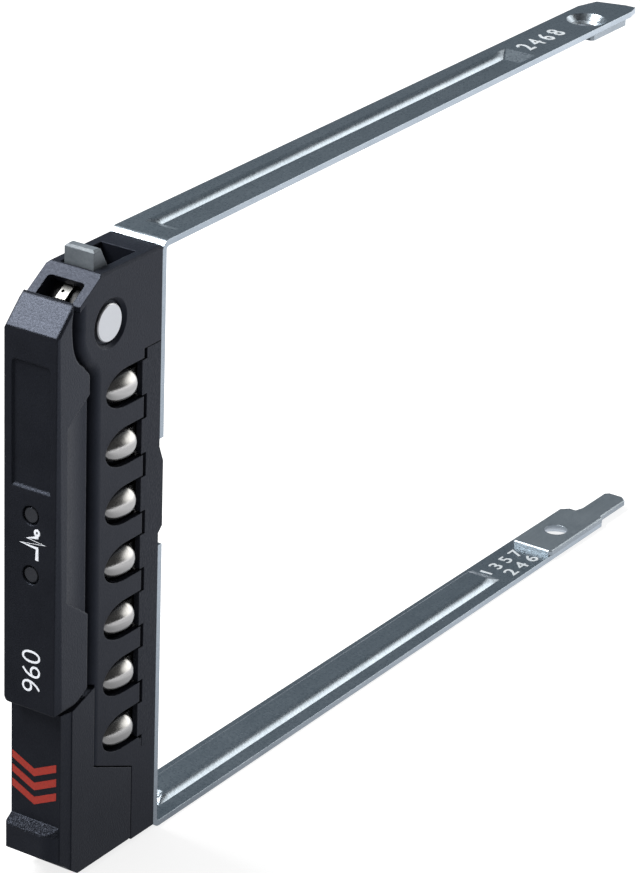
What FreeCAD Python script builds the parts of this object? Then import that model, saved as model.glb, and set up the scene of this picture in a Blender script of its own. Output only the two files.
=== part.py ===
"""Hot-swap carrier for a thin 76 mm server drive.

A U-shaped steel bracket holds the drive between two long arms.  A moulded housing
on the front of its web carries an eject lever, a sliding release latch, two light
guides and a strip of seven sprung grounding contacts.

Carrier frame, in millimetres: X runs across the thickness, with the contacts on
the +X side; Y runs back along the arms from the front of the web; Z runs up from
the outer face of the lower arm.  The last section moves every piece so that the
origin is at the bottom centre of the whole carrier.
"""
import FreeCAD
import Part
import math
import os

V = FreeCAD.Vector

# ---------------------------------------------------------------- driving sizes
# The drive, and the sheet metal round it
DRIVE_HEIGHT = 76.0          # edge to edge, between the arms
DRIVE_LENGTH = 112.75
DRIVE_PLAY = 0.2             # both edges together
CARRIER_WIDTH = 7.9
SHEET = 0.8
BEND_RADIUS = 0.5            # inside
RIB_RISE = 0.8
ARM_SETBACK = 0.5            # the arms end short of the drive
ARM_TIP_WIDTH = 7.1
ARM_CORNER = 4.6             # long corner cut off the upper arm's tip

# Ribs pressed into the arms
RIB_START = 4.2
RIB_END_GAP = 17.5           # from the rib's rear end to the screw hole
RIB_LEFT = -2.9              # foot of the steep side, lower arm
RIB_RIGHT = 1.85             # foot of the long side, lower arm
RIB_STEEP_RUN = 0.6
RIB_LONG_RUN = 1.1
RIB_END_RUN = 2.2
RIB_ROUND = 0.4

# Screw holes and the plates that back them
SCREW_FROM_TIP = 9.0
SCREW_X = 0.45
SCREW_HOLE_R = 1.65
SCREW_HEAD_R = 2.8
PLATE_WIDTH = 6.5
PLATE_LENGTH = 15.4
PLATE_FRONT_GAP = 6.8        # from its front edge to the screw, lower arm
UPPER_PLATE_GAP = 3.4        # and upper arm
PLATE_END_GAP = 2.0          # upper plate's rear end, short of the arm's
TAB_LENGTH = 6.9             # beyond the lower arm
TAB_WIDTH = 3.7
TAB_X = 1.45

# Notch in the web's side, and the holes through the web
NOTCH_LOW = 39.6
NOTCH_HIGH = 53.9
NOTCH_DEPTH = 2.2
KEY_LOW_GAP = 1.7            # strip's key above the notch's lower edge
KEY_HIGH_GAP = 1.0           # and below its upper one
KEY_HIGH_RAMP = 2.1
WEB_SCREW_LOW = 31.0
WEB_SCREW_DROP = 18.6        # upper one, down from the top
WEB_SCREW_R = 1.0
WEB_SCREW_HEAD_R = 1.8
WEB_SCREW_LENGTH = 7.0

# Housing
TOP_STEP = 0.4               # housing top below the upper arm
BOTTOM_STEP = 0.7            # housing bottom above the lower arm
HOUSING_DEPTH = 13.2
TOP_SETBACK = 1.3            # front edge of the top, behind the housing's front
SLOPE_ANGLE = 32.5
FRONT_ROUND = 1.3
TOP_BEVEL = 0.3
PIVOT_SETBACK = 3.0          # behind the housing's front
PIVOT_DROP = 7.05            # down from the top of the upper arm
BOSS_R = 6.1
BOSS_BLEND_R = 2.0
NOSE_SETBACK = 0.1           # front of the sloped face, behind the boss's
CAVITY_WIDTH = 5.35
SLOPE_PLATE = 0.7            # its square-edged upper layer
BRIDGE = 1.0                 # wall left between the slope's window and the slot
WINDOW_TOP = 0.28            # behind the foot of the pivot's normal on the slope
WINDOW_ROUND = 0.5
SLOT_WIDTH = 5.1
SLOT_LENGTH = 8.1
HOOK_GAP = 0.4               # slot's front edge ahead of the hook

# Pivot pin
PIN_R = 1.5
PIN_HEAD_R = 2.38
PIN_HEAD = 0.6
PIN_SUNK = 0.1               # head below the housing's side
PIN_RECESS_R = 2.75
RING_R = 2.4
RING_THICK = 0.4
RUNNING_FIT = 0.05           # radial

# Grounding contacts and the comb of windows over them
DOME_COUNT = 7
FIRST_WINDOW_DROP = 16.33    # centre of the first, down from the top of the upper arm
LAST_WINDOW = 16.95          # centre of the last, up from the lower arm
DOME_LIFT = 0.15             # above the window's centre
DOME_R = 2.05
DOME_NOSE = 4.3
DOME_GAP = 0.15              # between its nose and the window's front edge
STRIP_THICK = 0.2
STRIP_INSET = 1.0            # its outer face, in from the housing's side
FINGER_WIDTH = 2.4
RAIL_LAP = 0.4               # contact strip's rail, ahead of the comb's teeth
WINDOW_RISE = 2.6            # above its centre
WINDOW_FALL = 2.4            # and below it
WINDOW_BELLY = 6.7           # where the outline leaves its straight edges
WINDOW_FRONT = 10.95
DOME_DEPTH = WINDOW_FRONT - DOME_GAP - DOME_NOSE
COMB_WALL = 0.75
TOOTH_END = 3.4
STRIP_FRONT = 3.75
STRIP_NOTCH = 2.9
SEAM = 0.12                  # gap drawn between mating mouldings
POCKET_X = 1.9

# Lever: core, cover and lenses
BARREL_R = 4.6
CORE_WIDTH = 4.9
HOOK_WIDTH = 4.3
HOOK_SETBACK = 0.7           # its front face, behind the top's front edge
HOOK_TOP_DEPTH = 1.55
HOOK_RISE = 2.25             # above the housing
HOOK_RAMP = 1.25
CORE_GAP = 3.3               # from the housing's front to the core's long plate
CORE_PLATE = 1.4
NECK_TOP = 1.85              # above the pivot
NECK_DEPTH = 4.4
CORE_END = 27.0
COVER_BACK_GAP = 1.0         # from the housing's front to the cover's side walls
COVER_DEPTH = 6.1            # over its side walls
COVER_WALL = 1.1
COVER_TOP_WALL = 0.8
COVER_BOTTOM = 24.15
COVER_LIP = 2.8              # level part of the bottom edge, back from the front
COVER_LIP_RISE = 1.85        # the rest climbs this much to the rear
COVER_GAP = 0.4              # round the boss
COVER_SWELL = 1.45           # round the boss just above the pivot, for the lever's swing
COVER_CREST = 1.9            # and at the top
COVER_TOP_LAP = 0.8          # top rear edge, ahead of the housing's sloped face
COVER_TOP_DROP = 2.5         # top rear edge, down from the top of the upper arm
EDGE_BEVEL = 0.3
FACET_WIDE = 1.1             # facet down the cover's contact side, at its foot
FACET_DEEP = 0.4
COVER_FOOT_ROUND = 0.4
COVER_CORNER = 0.95
SCOOP_DEPTH = 0.55
SCOOP_REAR_DEPTH = 0.3
SCOOP_SETBACK = 1.9          # behind the cover's front
SCOOP_TOP = 61.6
SCOOP_BOTTOM = 39.0
SCOOP_FLARE = 3.4
LABEL_WIDTH = 5.7
LABEL_BOTTOM = 53.7
LABEL_TOP_DROP = 9.8         # its top edge, down from the top of the upper arm
LABEL_DEPTH = 0.25
LABEL_ROUND = 0.6
LABEL_LIP = 0.35             # sloped ledge along its bottom edge
LIGHT_LOW = 42.3
LIGHT_PITCH = 7.8
LIGHT_R = 0.9
LENS_R = 0.95
LENS_BODY_R = 1.2
LENS_RIM_R = 1.25
LENS_SUNK = 0.12             # tip, below the cover's face
LENS_WELL = 0.6              # depth of the round well it stands in
COVER_SCREW_R = 0.7
COVER_SCREW_HEAD_R = 1.3
COVER_SCREW_HIGH_DROP = 13.4
COVER_SCREW_LOW = 31.0

# Release latch
LATCH_AHEAD = 5.65           # front face, ahead of the housing's front
LATCH_FACET = 1.75           # depth of the facet on its contact side
LATCH_FACET_IN = 0.35
LATCH_STEP_IN = 0.1
LATCH_OVERLAP = 0.55         # its cheeks reach back past the housing's front
LATCH_TOP_SLOPE = 0.34       # its top edge climbs to the rear
LATCH_LEG_BACK = 4.9
LATCH_LEG_HIGH = 14.35       # leg's top edge, front end
LATCH_LEG_LOW = 11.0         # leg's top edge, rear end
LATCH_BOTTOM = 0.95
LATCH_CHEEK = 1.3
LATCH_WALL = 1.45
LATCH_GAP = 0.15
LEDGE_REACH = 1.35
LEDGE_TOP = 8.35
LEDGE_DROP = 0.95
LEDGE_BOTTOM = 4.1
LEDGE_TURN = 2.1             # its corner on the contact side
LEDGE_ROUND = 0.4            # and on the other
HOLLOW_REACH = 3.0           # hollow under the ledge, back from the front face
HOLLOW_R = 6.0
HOLLOW_SAG = 0.35
TOOTH_WIDTH = 2.4
GUIDE_DEPTH = 9.0            # guide ribs on the cheeks, and their grooves
GUIDE_WIDTH = 1.0
GUIDE_HEIGHT = 0.3
LATCH_SHELF = 22.4           # top of the return spring
SPRING_SEAT = 12.0
SPRING_R = 1.1
SPRING_WIRE = 0.3
SPRING_TURNS = 6
ANCHOR_THICK = 0.25
ANCHOR_WIDTH = 1.4
ANCHOR_X = -0.4
ANCHOR_RISE = 0.9            # up the slope from the foot of the pivot's normal
ANCHOR_FALL = 1.7            # and down it
ANCHOR_GAP = 0.2             # to the cavity's wall
KICK_R = 3.15
KICK_WIRE = 0.35
KICK_TURNS = 3

# --------------------------------------------------------------- derived places
HALF = CARRIER_WIDTH / 2
HEIGHT = DRIVE_HEIGHT + DRIVE_PLAY + 2 * (SHEET + RIB_RISE)
ARM_TIP = SHEET + DRIVE_LENGTH - ARM_SETBACK
SCREW_Y = ARM_TIP - SCREW_FROM_TIP
TAB_TIP = ARM_TIP + TAB_LENGTH
HOUSING_TOP = HEIGHT - TOP_STEP
NOSE_REACH = BOSS_R - NOSE_SETBACK
PIVOT = (PIVOT_SETBACK - HOUSING_DEPTH, HEIGHT - PIVOT_DROP)
TOP_DEPTH = HOUSING_DEPTH - TOP_SETBACK
HOOK_FRONT = TOP_DEPTH - HOOK_SETBACK
DOME_PITCH = (HEIGHT - FIRST_WINDOW_DROP - LAST_WINDOW) / (DOME_COUNT - 1)
WINDOWS = [LAST_WINDOW + i * DOME_PITCH for i in range(DOME_COUNT)]
STRIP_OUT = HALF - STRIP_INSET
STRIP_IN = STRIP_OUT - STRIP_THICK
DOMES = [z + DOME_LIFT for z in WINDOWS]
DOME_TOP = STRIP_IN + DOME_R
COMB_LOW = WINDOWS[0] - DOME_PITCH / 2
COMB_HIGH = WINDOWS[-1] + DOME_PITCH / 2
LIGHTS = {"lower": LIGHT_LOW, "upper": LIGHT_LOW + LIGHT_PITCH}
WEB_SCREWS = {"lower": WEB_SCREW_LOW, "upper": HEIGHT - WEB_SCREW_DROP}
COVER_SCREWS = {"lower": COVER_SCREW_LOW, "upper": HEIGHT - COVER_SCREW_HIGH_DROP}
PLATE_BACK = HOUSING_DEPTH + CORE_GAP
CORE_FRONT = PLATE_BACK + CORE_PLATE
COVER_SIDE_BACK = HOUSING_DEPTH + COVER_BACK_GAP
COVER_FRONT = COVER_SIDE_BACK + COVER_DEPTH
COVER_TOP_REAR = NOSE_REACH - PIVOT[0] + COVER_TOP_LAP
LATCH_FRONT = HOUSING_DEPTH + LATCH_AHEAD
LATCH_STEP = LATCH_FRONT - LATCH_FACET
LATCH_BACK = HOUSING_DEPTH - LATCH_OVERLAP
CAVITY_HALF = CAVITY_WIDTH / 2
INNER_COVER = HALF - COVER_WALL
LATCH_INNER = HALF - LATCH_CHEEK
CORE_HALF = LATCH_INNER - LATCH_GAP


# ------------------------------------------------------------------ small tools
def box(x0, x1, y0, y1, z0, z1):
    """Block between two corners."""
    return Part.makeBox(x1 - x0, y1 - y0, z1 - z0, V(x0, y0, z0))


def rod(radius, start, end):
    """Cylinder from one point to another."""
    run = end - start
    return Part.makeCylinder(radius, run.Length, start, run)


def taper(radius, end_radius, start, end):
    """Cone between two points."""
    run = end - start
    return Part.makeCone(radius, end_radius, run.Length, start, run)


def extrude_x(edges, x0, x1):
    """Closed outline drawn at X = 0, pushed from x0 to x1."""
    face = Part.Face(Part.Wire(edges))
    face.translate(V(x0, 0, 0))
    return face.extrude(V(x1 - x0, 0, 0))


def side_lines(points):
    """Straight edges through (y, z) points."""
    ends = [V(0, y, z) for y, z in points]
    return [Part.makeLine(a, b) for a, b in zip(ends, ends[1:])]


def side_prism(points, x0, x1):
    """Polygon given as (y, z) points, pushed across the thickness."""
    return extrude_x(side_lines(list(points) + [points[0]]), x0, x1)


def plan_prism(points, z0, z1):
    """Polygon given as (x, y) points, pushed up."""
    ends = [V(x, y, z0) for x, y in points]
    wire = Part.makePolygon(ends + [ends[0]])
    return Part.Face(wire).extrude(V(0, 0, z1 - z0))


def front_prism(points, y0, y1):
    """Polygon given as (x, z) points, pushed back."""
    ends = [V(x, y0, z) for x, z in points]
    wire = Part.makePolygon(ends + [ends[0]])
    return Part.Face(wire).extrude(V(0, y1 - y0, 0))


def arc(a, middle, b):
    """Arc edge through three (y, z) points."""
    return Part.Arc(*[V(0, y, z) for y, z in (a, middle, b)]).toShape()


def curve(points):
    """Smooth edge through (y, z) points."""
    line = Part.BSplineCurve()
    line.interpolate([V(0, y, z) for y, z in points])
    return line.toShape()


def round_edges(shape, radius, chosen):
    """Round the edges whose middle point passes the test."""
    edges = [e for e in shape.Edges if chosen(e.CenterOfMass, e)]
    return shape.makeFillet(radius, edges)


def bevel_edges(shape, size, chosen):
    """Chamfer the edges whose middle point passes the test."""
    edges = [e for e in shape.Edges if chosen(e.CenterOfMass, e)]
    return shape.makeChamfer(size, edges)


def along(edge, axis):
    """True for a straight edge that runs along one axis."""
    run = edge.Vertexes[-1].Point - edge.Vertexes[0].Point
    return run.Length > 0 and abs(run.dot(axis)) > 0.999 * run.Length


def from_pivot(angle, radius):
    """(y, z) point at an angle up from straight ahead of the pivot."""
    turn = math.radians(angle)
    return (PIVOT[0] - radius * math.cos(turn), PIVOT[1] + radius * math.sin(turn))


def on_slope(down, out):
    """(y, z) point in the slope's own axes: down along it, and out from the pivot."""
    turn = math.radians(SLOPE_ANGLE)
    return (PIVOT[0] - down * math.cos(turn) - out * math.sin(turn),
            PIVOT[1] - down * math.sin(turn) + out * math.cos(turn))


def coil(radius, wire, turns, length):
    """Round-wire coil on +Z, from the origin up, with flat-cut ends."""
    path = Part.makeHelix(length / turns, length, radius)
    ring = Part.Wire(Part.makeCircle(wire / 2, V(radius, 0, 0), V(0, 1, 0)))
    return Part.Wire(path).makePipeShell([ring], True, True)


# --------------------------------------------------------------------- bracket
def rib(y0, y1):
    """Pressed rib above the lower arm's inner face, standing on Z = 0."""
    top = RIB_RISE
    across = front_prism([(RIB_LEFT, 0), (RIB_LEFT + RIB_STEEP_RUN, top),
                          (RIB_RIGHT - RIB_LONG_RUN, top), (RIB_RIGHT, 0)], y0, y1)
    lengthways = side_prism([(y0, 0), (y0 + RIB_END_RUN, top),
                             (y1 - RIB_END_RUN, top), (y1, 0)], RIB_LEFT, RIB_RIGHT)
    return round_edges(across.common(lengthways), RIB_ROUND, lambda c, e: c.z > 0.01)


def turned_over(shape):
    """The lower arm's feature as the upper arm has it, half a turn about Y."""
    turned = shape.copy()
    turned.rotate(V(0, 0, HEIGHT / 2), V(0, 1, 0), 180)
    return turned


def arm_outline(end):
    """Plan of a tapered arm, wide at the web, with its rear end's points given."""
    return [(-HALF, 0), (HALF, 0)] + end


def screw_hole():
    """Clearance hole and countersink, from the lower arm's outer face upwards."""
    depth = SCREW_HEAD_R - SCREW_HOLE_R
    hole = rod(SCREW_HOLE_R, V(SCREW_X, SCREW_Y, -1), V(SCREW_X, SCREW_Y, 2 * SHEET + 1))
    sink = taper(SCREW_HEAD_R, SCREW_HOLE_R, V(SCREW_X, SCREW_Y, 0), V(SCREW_X, SCREW_Y, depth))
    return hole.fuse(sink)


def upper_screw_hole():
    """The same hole, seen from the top."""
    return screw_hole().mirror(V(0, 0, HEIGHT / 2), V(0, 0, 1))


def bracket():
    outer = box(-HALF, HALF, 0, ARM_TIP, 0, HEIGHT)
    outer = round_edges(outer, BEND_RADIUS + SHEET,
                        lambda c, e: c.y < 0.01 and along(e, V(1, 0, 0)))
    inner = box(-HALF - 1, HALF + 1, SHEET, ARM_TIP + 1, SHEET, HEIGHT - SHEET)
    inner = round_edges(inner, BEND_RADIUS,
                        lambda c, e: c.y < SHEET + 0.01 and along(e, V(1, 0, 0)))
    sheet = outer.cut(inner)

    tip = ARM_TIP_WIDTH / 2
    cut = 1.25 * SHEET
    upper = plan_prism(arm_outline([
        (tip, ARM_TIP - 2 * cut), (tip - cut / 2, ARM_TIP), (tip - 2 * cut, ARM_TIP),
        (-tip + cut, ARM_TIP - ARM_CORNER / 4), (-tip, ARM_TIP - ARM_CORNER)]), HEIGHT / 2, HEIGHT)
    lower = plan_prism(arm_outline([
        (tip, ARM_TIP - cut), (tip - cut, ARM_TIP),
        (-tip + cut, ARM_TIP), (-tip, ARM_TIP - cut)]), 0, HEIGHT / 2)
    sheet = sheet.common(upper.fuse(lower))

    lower_rib = rib(RIB_START, SCREW_Y - RIB_END_GAP)
    raised = lower_rib.copy()
    raised.translate(V(0, 0, SHEET))
    sheet = sheet.fuse([raised, turned_over(raised)])
    sheet = sheet.cut([lower_rib, turned_over(lower_rib)])

    sheet = sheet.cut([screw_hole(), upper_screw_hole()])
    sheet = sheet.cut(box(HALF - NOTCH_DEPTH, HALF + 1, -1, SHEET + 1, NOTCH_LOW, NOTCH_HIGH))
    for height in LIGHTS.values():
        sheet = sheet.cut(rod(LIGHT_R + SEAM, V(0, -1, height), V(0, SHEET + 1, height)))
    for height in WEB_SCREWS.values():
        sheet = sheet.cut(web_screw_cone(height).fuse(
            rod(WEB_SCREW_R + SEAM, V(0, -1, height), V(0, SHEET + 1, height))))
    return sheet.removeSplitter()


def backing_plate(left, right, front, tail):
    """Plate welded inside an arm, with the points of its rear end given."""
    cut = SHEET / 2
    outline = [(left + cut, front), (right - cut, front), (right, front + cut)] + tail
    return plan_prism(outline + [(left, front + cut)], SHEET, SHEET + RIB_RISE)


def lower_end_plate():
    right = SCREW_X + PLATE_WIDTH / 2
    left = SCREW_X - PLATE_WIDTH / 2
    front = SCREW_Y - PLATE_FRONT_GAP
    end = front + PLATE_LENGTH - SHEET
    tab_left = TAB_X - TAB_WIDTH / 2
    tab_right = TAB_X + TAB_WIDTH / 2
    plate = backing_plate(left, right, front, [
        (right, end), (right - 0.35, end + 0.3), (tab_right, end + 0.6),
        (tab_right, TAB_TIP - 0.9), (tab_right - 0.9, TAB_TIP), (tab_left + 0.6, TAB_TIP),
        (tab_left, TAB_TIP - 0.6), (tab_left, end + 1.1), (tab_left - 0.4, end - 0.2),
        (left + 0.9, end - 0.4), (left, end - 1.6)])
    plate = bevel_edges(plate, 0.15, lambda c, e: c.z > SHEET + RIB_RISE - 0.01)
    return plate.cut(screw_hole())


def upper_end_plate():
    left = SCREW_X - PLATE_WIDTH / 2
    right = ARM_TIP_WIDTH / 2
    end = ARM_TIP - PLATE_END_GAP
    plate = backing_plate(left, right, SCREW_Y - UPPER_PLATE_GAP, [
        (right, end - 1.5), (right - 1.5, end), (left + 2.5, end), (left, end - 2.5)])
    plate = plate.mirror(V(0, 0, HEIGHT / 2), V(0, 0, 1))
    return plate.cut(upper_screw_hole())


def web_screw_cone(height):
    """Countersunk head, flush with the web's rear face."""
    return taper(WEB_SCREW_HEAD_R, WEB_SCREW_R, V(0, SHEET, height), V(0, 0, height))


def web_screw(height):
    shank = rod(WEB_SCREW_R, V(0, 0, height), V(0, -WEB_SCREW_LENGTH, height))
    socket = rod(0.45, V(0, SHEET, height), V(0, SHEET / 2, height))
    return web_screw_cone(height).fuse(shank).cut(socket)


# --------------------------------------------------------------------- housing
def nose_height():
    """Lower front edge of the sloped face."""
    run = NOSE_REACH - PIVOT[0] - TOP_DEPTH
    return HOUSING_TOP - run * math.tan(math.radians(SLOPE_ANGLE))


def housing_side():
    """Side outline: top, slope with its nose, round boss, blend, front and foot."""
    top = HOUSING_TOP
    nose_y = PIVOT[0] - NOSE_REACH
    meet_z = PIVOT[1] + math.sqrt(BOSS_R ** 2 - NOSE_REACH ** 2)
    ahead = PIVOT_SETBACK
    blend = (-ahead - BOSS_BLEND_R,
             -math.sqrt((BOSS_R + BOSS_BLEND_R) ** 2 - (ahead + BOSS_BLEND_R) ** 2))
    share = BOSS_R / (BOSS_R + BOSS_BLEND_R)
    leave = (PIVOT[0] + blend[0] * share, PIVOT[1] + blend[1] * share)
    centre = (PIVOT[0] + blend[0], PIVOT[1] + blend[1])
    land = (-HOUSING_DEPTH, centre[1])
    start = math.atan2(leave[1] - centre[1], leave[0] - centre[0])
    middle = (centre[0] + BOSS_BLEND_R * math.cos(start / 2),
              centre[1] + BOSS_BLEND_R * math.sin(start / 2))
    edges = side_lines([land, (-HOUSING_DEPTH, BOTTOM_STEP), (0, BOTTOM_STEP), (0, top),
                        (-TOP_DEPTH, top), (nose_y, nose_height()), (nose_y, meet_z)])
    edges.append(arc((nose_y, meet_z), from_pivot(-15, BOSS_R), leave))
    edges.append(arc(leave, middle, land))
    return edges


def latch_clearance():
    """Room for the latch's cheeks on both sides of the housing's core."""
    gap = LATCH_GAP
    outline = [(-LATCH_FRONT, -1), (-LATCH_LEG_BACK + gap, -1),
               (-LATCH_LEG_BACK + gap, LATCH_LEG_LOW + gap),
               (-LATCH_BACK + gap, LATCH_LEG_HIGH + gap),
               (-LATCH_BACK + gap, latch_top(LATCH_BACK) + 2 * gap),
               (-LATCH_FRONT, latch_top(LATCH_BACK) + 2 * gap)]
    return side_prism(outline, CORE_HALF, HALF + 1).fuse(
        side_prism(outline, -HALF - 1, -CORE_HALF))


def latch_top(depth):
    """Height of the latch's top edge at a depth in front of the web."""
    return COVER_BOTTOM - 2 * LATCH_GAP + LATCH_TOP_SLOPE * max(0, LATCH_STEP - depth)


def slope_height():
    """Distance from the pivot to the sloped face."""
    turn = math.radians(SLOPE_ANGLE)
    return ((TOP_DEPTH + PIVOT[0]) * math.sin(turn)
            + (HOUSING_TOP - PIVOT[1]) * math.cos(turn))


def lever_cavity():
    """Space for the lever's barrel, neck and hook inside the housing."""
    radius = slope_height() - BRIDGE
    barrel = rod(radius, V(-CAVITY_HALF, *PIVOT), V(CAVITY_HALF, *PIVOT))
    far = 2 * HOUSING_DEPTH
    window_front = on_slope(-WINDOW_TOP, far)
    window_back = on_slope(-WINDOW_TOP, 0)
    floor = PIVOT[1] + NECK_TOP - NECK_DEPTH - 4 * LATCH_GAP
    mouth = side_prism([window_back, window_front, (PIVOT[0] - far, window_front[1]),
                        (PIVOT[0] - far, floor), (PIVOT[0], floor)],
                       -CAVITY_HALF, CAVITY_HALF)
    square = V(0, window_front[0] - window_back[0], window_front[1] - window_back[1])
    square.normalize()
    mouth = round_edges(mouth, WINDOW_ROUND, lambda c, e: along(e, square))
    slot = box(-SLOT_WIDTH / 2, SLOT_WIDTH / 2, -HOOK_FRONT - HOOK_GAP,
               -HOOK_FRONT - HOOK_GAP + SLOT_LENGTH, PIVOT[1], HOUSING_TOP + 1)
    return [barrel, mouth, slot]


def window_cut(height):
    """One window of the comb: a rounded nose in front, open at the rear."""
    centre = V(POCKET_X, -WINDOW_BELLY, height)
    nose = V(POCKET_X, -WINDOW_FRONT, height)
    upper = V(POCKET_X, -WINDOW_BELLY, height + WINDOW_RISE)
    lower = V(POCKET_X, -WINDOW_BELLY, height - WINDOW_FALL)
    rear_upper = V(POCKET_X, -STRIP_NOTCH, upper.z)
    rear_lower = V(POCKET_X, -STRIP_NOTCH, lower.z)
    outline = [Part.ArcOfEllipse(Part.Ellipse(nose, upper, centre), 0, math.pi / 2).toShape(),
               Part.ArcOfEllipse(Part.Ellipse(nose, lower, centre), 0, math.pi / 2).toShape(),
               Part.makeLine(upper, rear_upper), Part.makeLine(rear_upper, rear_lower),
               Part.makeLine(rear_lower, lower)]
    face = Part.Face(Part.Wire(Part.__sortEdges__(outline)))
    return face.extrude(V(HALF + 1 - POCKET_X, 0, 0))


def strip_rebate():
    """Seat of the rear strip and of the contact strip's rail under it."""
    low = COMB_LOW
    high = COMB_HIGH
    seat = box(HALF - COMB_WALL, HALF + 1, -STRIP_NOTCH, 1, low, high)
    gap = box(HALF - COMB_WALL, HALF + 1, -TOOTH_END, -STRIP_NOTCH + SEAM, low + 1.2, high)
    rail = box(STRIP_IN - RUNNING_FIT, HALF - COMB_WALL, -TOOTH_END - 1, -1.0,
               low + 0.4, high - 0.4)
    return [seat, gap, rail]


def contact_pocket():
    """Hollow behind the comb that the contact fingers flex in."""
    return box(POCKET_X, HALF - COMB_WALL, -WINDOW_FRONT, -TOOTH_END,
               WINDOWS[0] - WINDOW_FALL, WINDOWS[-1] + WINDOW_RISE)


def spring_shelf():
    """Ledge on the housing's core that the latch's return spring stands on."""
    return box(-2.0, 2.0, -HOUSING_DEPTH - 3.6, -HOUSING_DEPTH, SPRING_SEAT - 1.0, SPRING_SEAT)


def housing():
    body = extrude_x(housing_side(), -HALF, HALF)
    body = round_edges(body, FRONT_ROUND, lambda c, e: (
        abs(abs(c.x) - HALF) < 0.01 and c.y < -HOUSING_DEPTH + 0.6
        and BOTTOM_STEP + 1 < c.z < PIVOT[1] + NOSE_REACH - 1))
    nose = (PIVOT[0] - NOSE_REACH, nose_height())
    body = body.fuse(side_prism([
        (-TOP_DEPTH, HOUSING_TOP), nose, (nose[0], nose[1] - SLOPE_PLATE),
        (-TOP_DEPTH, HOUSING_TOP - SLOPE_PLATE)], -HALF, HALF)).removeSplitter()
    body = bevel_edges(body, TOP_BEVEL, lambda c, e: (
        abs(abs(c.x) - HALF) < 0.01 and c.z > HOUSING_TOP - 0.01))
    body = body.cut(latch_clearance())
    body = body.fuse(spring_shelf())
    side = GUIDE_WIDTH / 2 + LATCH_GAP
    groove = box(CORE_HALF - GUIDE_HEIGHT - LATCH_GAP, HALF + 1,
                 -GUIDE_DEPTH - side, -GUIDE_DEPTH + side, -1, LATCH_LEG_LOW + 1.2)
    body = body.cut([groove, groove.mirror(V(0, 0, 0), V(1, 0, 0))])
    body = body.cut(lever_cavity())
    y, z = PIVOT
    body = body.cut([
        rod(PIN_R, V(-HALF - 1, y, z), V(HALF + 1, y, z)),
        rod(PIN_RECESS_R, V(HALF - PIN_HEAD - PIN_SUNK, y, z), V(HALF + 1, y, z)),
        taper(PIN_RECESS_R, PIN_RECESS_R + 0.45, V(HALF - 0.45, y, z), V(HALF, y, z)),
        rod(PIN_RECESS_R, V(-HALF - 1, y, z), V(-HALF + RING_THICK + PIN_SUNK, y, z))])
    body = body.cut([window_cut(height) for height in WINDOWS])
    body = body.cut(contact_pocket()).cut(strip_rebate())
    for height in LIGHTS.values():
        body = body.cut(rod(LIGHT_R + SEAM, V(0, 1, height), V(0, -HOUSING_DEPTH - 1, height)))
    for height in WEB_SCREWS.values():
        body = body.cut(rod(WEB_SCREW_R, V(0, 1, height), V(0, -WEB_SCREW_LENGTH - 1, height)))
    return body.removeSplitter()


def rear_strip():
    """Grained strip that closes the comb and keys into the web's notch."""
    inner = HALF - COMB_WALL
    strip = box(inner, HALF, -STRIP_FRONT, 0, COMB_LOW, COMB_HIGH - SEAM)
    tooth = DOME_PITCH - WINDOW_RISE - WINDOW_FALL + 4 * SEAM
    for window in [WINDOWS[0] - DOME_PITCH] + WINDOWS:
        middle = window + (WINDOW_RISE - WINDOW_FALL + DOME_PITCH) / 2
        strip = strip.cut(box(inner - 1, HALF + 1, -STRIP_FRONT - 1, -STRIP_NOTCH + SEAM,
                              middle - tooth / 2, middle + tooth / 2))
    key_low = NOTCH_LOW + KEY_LOW_GAP
    key_high = NOTCH_HIGH - KEY_HIGH_GAP
    key = side_prism([(0, key_low), (SHEET, key_low + SHEET),
                      (SHEET, key_high - KEY_HIGH_RAMP), (0, key_high)],
                     HALF - NOTCH_DEPTH + SEAM, HALF)
    return strip.fuse(key).removeSplitter()


def egg(radius, nose, height):
    """Solid of revolution about the depth axis: round behind, drawn out in front."""
    centre = V(STRIP_IN, -DOME_DEPTH, height)
    front = Part.ArcOfEllipse(Part.Ellipse(V(STRIP_IN, -DOME_DEPTH - nose, height),
                                           V(STRIP_IN + radius, -DOME_DEPTH, height), centre),
                              0, math.pi / 2).toShape()
    half = math.sqrt(0.5)
    back = Part.Arc(V(STRIP_IN + radius, -DOME_DEPTH, height),
                    centre + V(radius * half, radius * half, 0),
                    V(STRIP_IN, -DOME_DEPTH + radius, height)).toShape()
    axis = Part.makeLine(V(STRIP_IN, -DOME_DEPTH + radius, height),
                         V(STRIP_IN, -DOME_DEPTH - nose, height))
    profile = Part.Face(Part.Wire(Part.__sortEdges__([front, back, axis])))
    return profile.revolve(centre, V(0, 1, 0), 360)


def contact_strip():
    """Thin spring strip: a rail at the rear, and one domed finger at each window."""
    rail_back = -1.1
    rail_front = -TOOTH_END - RAIL_LAP
    strip = box(STRIP_IN, STRIP_OUT, rail_front, rail_back,
                WINDOWS[0] - WINDOW_FALL + 0.2, WINDOWS[-1] + WINDOW_RISE - 0.2)
    outside = box(STRIP_IN, 2 * CARRIER_WIDTH, -WINDOW_FRONT - 1, 0, 0, HEIGHT)
    for height in DOMES:
        finger = box(STRIP_IN, STRIP_OUT, -DOME_DEPTH, rail_front,
                     height - FINGER_WIDTH / 2, height + FINGER_WIDTH / 2)
        dome = egg(DOME_R, DOME_NOSE, height).common(outside)
        hollow = egg(DOME_R - STRIP_THICK, DOME_NOSE - STRIP_THICK, height)
        strip = strip.fuse(finger.fuse(dome).cut(hollow))
    return strip.removeSplitter()


def light_guide(height):
    """Clear rod from the web's rear face to the housing's front."""
    return rod(LIGHT_R, V(0, SHEET, height), V(0, -HOUSING_DEPTH, height))


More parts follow.
